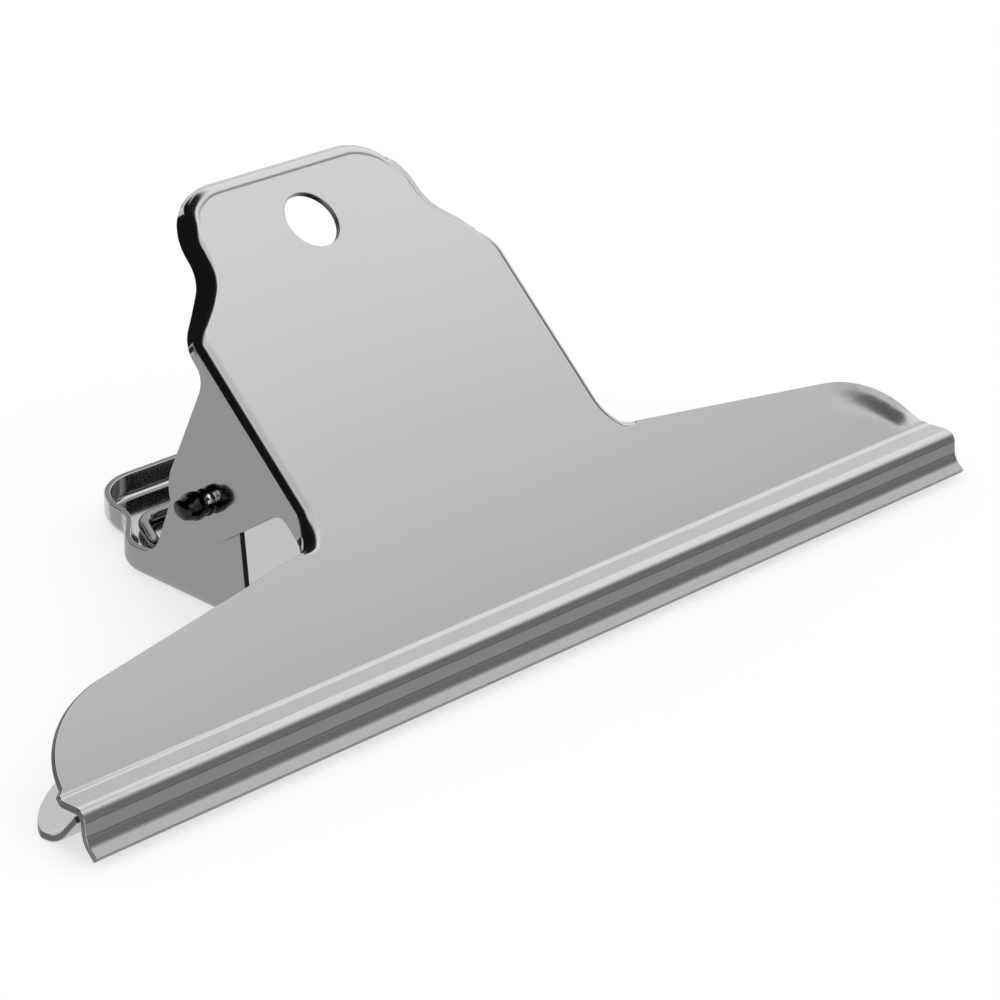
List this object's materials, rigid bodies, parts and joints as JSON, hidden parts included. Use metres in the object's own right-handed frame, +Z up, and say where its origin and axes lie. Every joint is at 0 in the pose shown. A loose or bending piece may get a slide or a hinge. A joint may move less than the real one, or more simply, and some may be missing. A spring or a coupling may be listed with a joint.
{
  "type": "bulldog clip",
  "caption": "Sheet-steel bulldog clip: two pressed plates with long jaws hinge on a pin, and a torsion spring between the handles keeps the jaws shut.",
  "frame": {"origin": "middle of the clip's footprint, on the surface that it lies on", "axes": "+X along the jaws, +Y from the jaws to the handles, +Z up; the back plate lies flat and the front plate leans over it"},
  "size_m": [0.145, 0.0654, 0.0452],
  "materials": {
    "plate_nickel": "bright nickel plate on pressed steel, slightly satin",
    "pin_steel": "plated steel pin",
    "spring_steel": "plated spring wire"
  },
  "bodies": {
    "back_plate": {"back_plate": "plate_nickel", "pivot_pin": "pin_steel", "spring": "spring_steel"},
    "front_plate": {"front_plate": "plate_nickel"}
  },
  "joints": [
    {"name": "jaw_hinge", "type": "hinge", "parent": "back_plate", "child": "front_plate", "pos_m": [0, 0.00316, 0.014], "axis": [-1, 0, 0], "range_deg": [0, 70], "stiffness_Nm_per_rad": 0.5, "springref_deg": -45.84, "deforming": ["spring"]}
  ]
}
